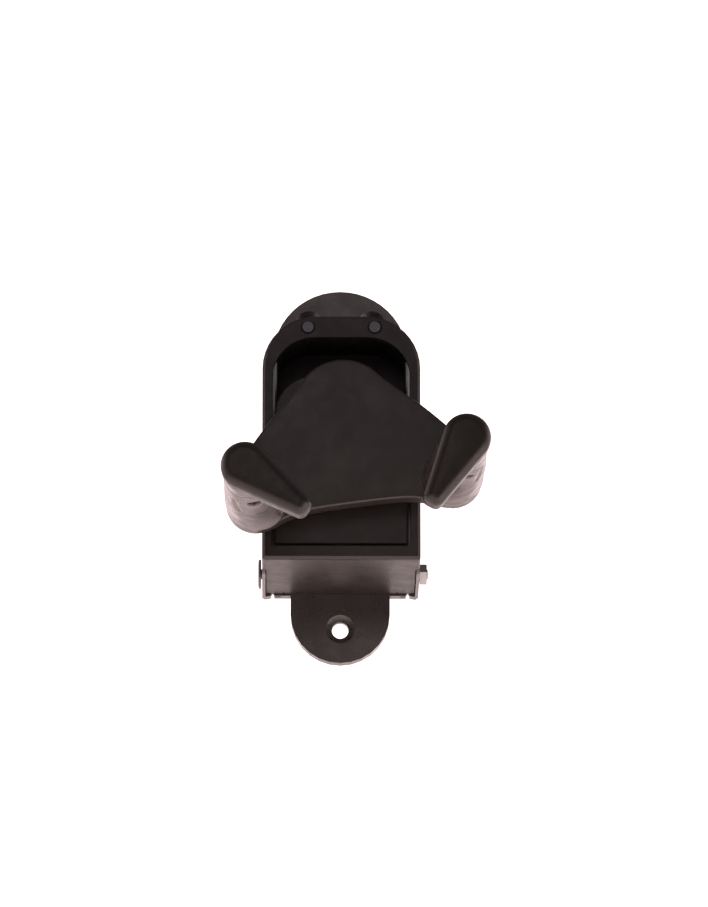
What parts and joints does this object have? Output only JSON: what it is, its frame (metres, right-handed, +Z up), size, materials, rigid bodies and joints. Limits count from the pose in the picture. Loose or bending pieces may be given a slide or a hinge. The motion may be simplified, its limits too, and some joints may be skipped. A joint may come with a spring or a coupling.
{
  "type": "wall guitar hanger",
  "caption": "Wall hanger for a guitar: a swivelling yoke with foam-covered arms drops under the load and turns teardrop gates inwards across the neck gap.",
  "frame": {"origin": "centre of the wall plate's back face, on the wall plane", "axes": "+X to the right seen from the front, +Y into the wall, +Z up; the yoke is stored hanging 7.6 degrees out of level"},
  "size_m": [0.0789, 0.111, 0.116],
  "materials": {
    "plate_paint": "satin black powder coat",
    "housing_plastic": "fine-textured brown-black moulding",
    "cover_plastic": "fine-textured brown-black moulding",
    "carriage_plastic": "smooth brown-black moulding",
    "yoke_plastic": "fine-textured brown-black moulding",
    "collar_rubber": "smooth satin rubber",
    "gate_rubber": "satin charcoal rubber",
    "sleeve_foam": "creased satin foam rubber",
    "bumper_rubber": "matte black rubber",
    "bush_plastic": "natural acetal",
    "spring_steel": "drawn spring wire",
    "plate_steel": "blackened sheet steel",
    "blackened_steel": "blued steel",
    "zinc_steel": "zinc plated steel",
    "bright_steel": "ground steel"
  },
  "bodies": {
    "wall_bracket": {"wall_plate": "plate_paint", "housing_shell": "housing_plastic", "front_cover": "cover_plastic", "cover_screw_left": "blackened_steel", "cover_screw_right": "blackened_steel", "guide_rod_left": "bright_steel", "guide_rod_right": "bright_steel", "reaction_post": "bright_steel", "cross_bolt": "blackened_steel", "cross_nut": "bright_steel", "bumper": "bumper_rubber", "return_spring_left": "spring_steel", "return_spring_right": "spring_steel"},
    "sliding_carriage": {"carriage": "carriage_plastic", "pivot_bolt": "blackened_steel", "pivot_washer": "bright_steel", "pivot_nut": "bright_steel", "swivel_stop_pin": "bright_steel"},
    "yoke": {"arm_tube_left": "zinc_steel", "arm_tube_right": "zinc_steel", "bush_front_left": "bush_plastic", "bush_front_right": "bush_plastic", "bush_rear_left": "bush_plastic", "bush_rear_right": "bush_plastic", "sleeve_left": "sleeve_foam", "sleeve_right": "sleeve_foam", "yoke_back_plate": "plate_steel", "yoke_screw_1": "blackened_steel", "yoke_screw_2": "blackened_steel", "yoke_screw_3": "blackened_steel", "yoke_screw_4": "blackened_steel", "yoke_shell": "yoke_plastic"},
    "left_gate": {"gate_left": "gate_rubber", "gate_collar_left": "collar_rubber", "gate_shaft_left": "zinc_steel", "crank_left": "zinc_steel", "shaft_clip_left": "blackened_steel"},
    "right_gate": {"gate_right": "gate_rubber", "gate_collar_right": "collar_rubber", "gate_shaft_right": "zinc_steel", "crank_right": "zinc_steel", "shaft_clip_right": "blackened_steel"},
    "draw_link": {"draw_bar": "zinc_steel"}
  },
  "joints": [
    {"name": "lift", "type": "slide", "parent": "wall_bracket", "child": "sliding_carriage", "axis": [0, 0, 1], "range_m": [0, 0.01], "stiffness_N_per_m": 300, "springref_m": 0.02, "deforming": ["return_spring_left", "return_spring_right"]},
    {"name": "swivel", "type": "hinge", "parent": "sliding_carriage", "child": "yoke", "pos_m": [0, -0.055, 0.011], "axis": [0, -1, 0], "range_deg": [-22.6, 7.4]},
    {"name": "left_gate_turn", "type": "hinge", "parent": "yoke", "child": "left_gate", "pos_m": [-0.02878, -0.11, -0.0221], "axis": [0.0622, 0.998, 0.0083], "range_deg": [0, 50]},
    {"name": "right_gate_turn", "type": "hinge", "parent": "yoke", "child": "right_gate", "pos_m": [0.03645, -0.11, -0.01339], "axis": [0.0622, -0.998, 0.0083], "range_deg": [0, 50]},
    {"name": "draw", "type": "slide", "parent": "yoke", "child": "draw_link", "axis": [-0.1323, 0, 0.9912], "range_m": [-0.01, 0]}
  ],
  "couplings": [
    {"joint": "left_gate_turn", "follows": "lift", "rad_per_m": 87.2},
    {"joint": "right_gate_turn", "follows": "lift", "rad_per_m": 87.2},
    {"joint": "draw", "follows": "lift", "ratio": -1}
  ]
}
